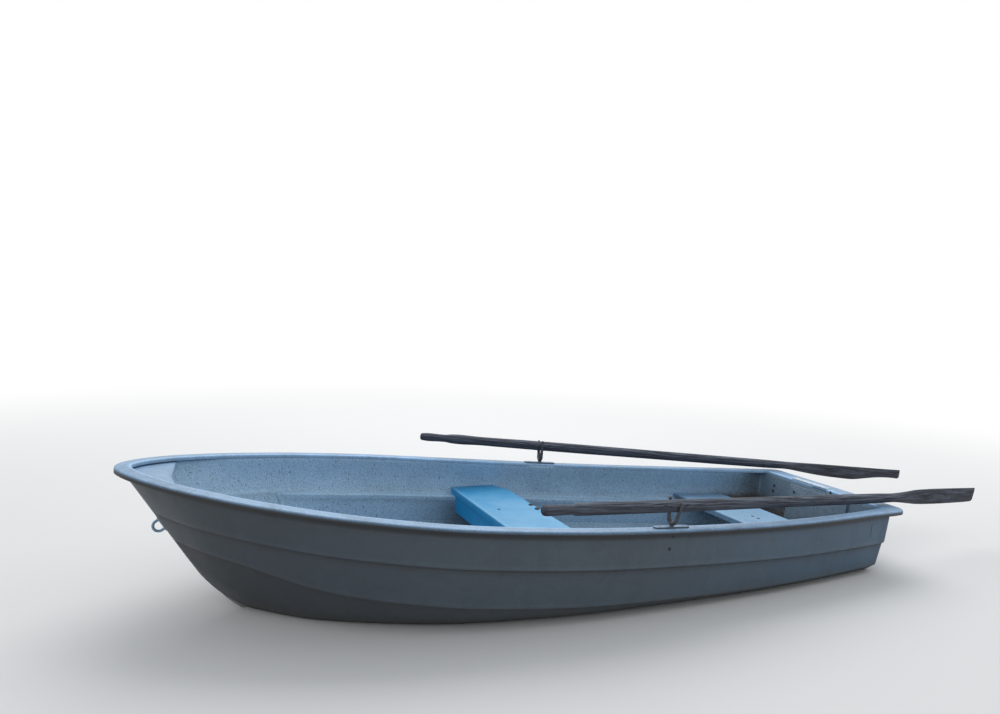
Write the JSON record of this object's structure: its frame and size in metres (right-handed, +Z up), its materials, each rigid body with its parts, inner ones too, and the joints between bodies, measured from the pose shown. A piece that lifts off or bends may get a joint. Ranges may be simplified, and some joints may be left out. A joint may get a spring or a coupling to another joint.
{
  "type": "rowing boat",
  "caption": "Open moulded rowing boat with lapped sides, rolled gunwale rim, raked transom, moulded seats, horn rowlocks that swing and wooden oars that swing and tilt.",
  "frame": {"origin": "amidships on the centre plane at the waterline of the empty boat", "axes": "+X forward to the bow, +Y to port, +Z up"},
  "size_m": [4.0049, 1.3701, 0.6154],
  "materials": {
    "gelcoat_hull": "weathered pale gelcoat, stained towards the waterline",
    "gelcoat_rim": "weathered pale gelcoat",
    "gelcoat_inside": "speckled grey-blue gelcoat, dirty",
    "gelcoat_blue": "faded blue gelcoat",
    "gelcoat_white": "weathered white gelcoat",
    "keel_plastic": "worn",
    "clamp_metal": "brushed, dull",
    "plug_brass": "tarnished",
    "galvanised": "galvanised, dull",
    "weathered_wood": "bare weathered wood, grey-brown"
  },
  "bodies": {
    "boat": {"upper_strake_aft_port": "gelcoat_hull", "upper_strake_aft_starboard": "gelcoat_hull", "upper_strake_middle_port": "gelcoat_hull", "upper_strake_middle_starboard": "gelcoat_hull", "upper_strake_fore_port": "gelcoat_hull", "upper_strake_fore_starboard": "gelcoat_hull", "lower_strake_aft_port": "gelcoat_hull", "lower_strake_aft_starboard": "gelcoat_hull", "lower_strake_middle_port": "gelcoat_hull", "lower_strake_middle_starboard": "gelcoat_hull", "lower_strake_fore_port": "gelcoat_hull", "lower_strake_fore_starboard": "gelcoat_hull", "bottom_aft_port": "gelcoat_hull", "bottom_aft_starboard": "gelcoat_hull", "bottom_middle_port": "gelcoat_hull", "bottom_middle_starboard": "gelcoat_hull", "bottom_fore_port": "gelcoat_hull", "bottom_fore_starboard": "gelcoat_hull", "transom": "gelcoat_hull", "stem": "gelcoat_hull", "gunwale_rim_port": "gelcoat_rim", "gunwale_rim_starboard": "gelcoat_rim", "gunwale_rim_stern": "gelcoat_rim", "riser_port": "gelcoat_inside", "riser_starboard": "gelcoat_inside", "thwart": "gelcoat_blue", "stern_bench": "gelcoat_white", "floor": "gelcoat_inside", "breasthook": "gelcoat_rim", "keel_strip": "keel_plastic", "transom_pad": "gelcoat_inside", "transom_clamp_strip": "clamp_metal", "drain_plug": "plug_brass", "bow_eye": "galvanised", "rowlock_socket_port": "galvanised", "rowlock_socket_starboard": "galvanised"},
    "horn_port": {"rowlock_horn_port": "galvanised"},
    "horn_starboard": {"rowlock_horn_starboard": "galvanised"},
    "oar_port": {"oar_loom_port": "weathered_wood", "oar_blade_port": "weathered_wood"},
    "oar_starboard": {"oar_loom_starboard": "weathered_wood", "oar_blade_starboard": "weathered_wood"}
  },
  "joints": [
    {"name": "swing_port", "type": "hinge", "parent": "boat", "child": "horn_port", "pos_m": [-0.28437, 0.56256, 0.35066], "axis": [0.0738, -0.1162, -0.9905], "range_deg": [0, 150]},
    {"name": "tilt_port", "type": "hinge", "parent": "horn_port", "child": "oar_port", "pos_m": [-0.29057, 0.57232, 0.43386], "axis": [-0.1694, 0.9773, -0.1273], "range_deg": [0, 9.5]},
    {"name": "swing_starboard", "type": "hinge", "parent": "boat", "child": "horn_starboard", "pos_m": [-0.28437, -0.56256, 0.35066], "axis": [-0.0738, -0.1162, 0.9905], "range_deg": [0, 150]},
    {"name": "tilt_starboard", "type": "hinge", "parent": "horn_starboard", "child": "oar_starboard", "pos_m": [-0.29057, -0.57232, 0.43386], "axis": [0.123, 0.9845, 0.1247], "range_deg": [0, 7.5]}
  ]
}
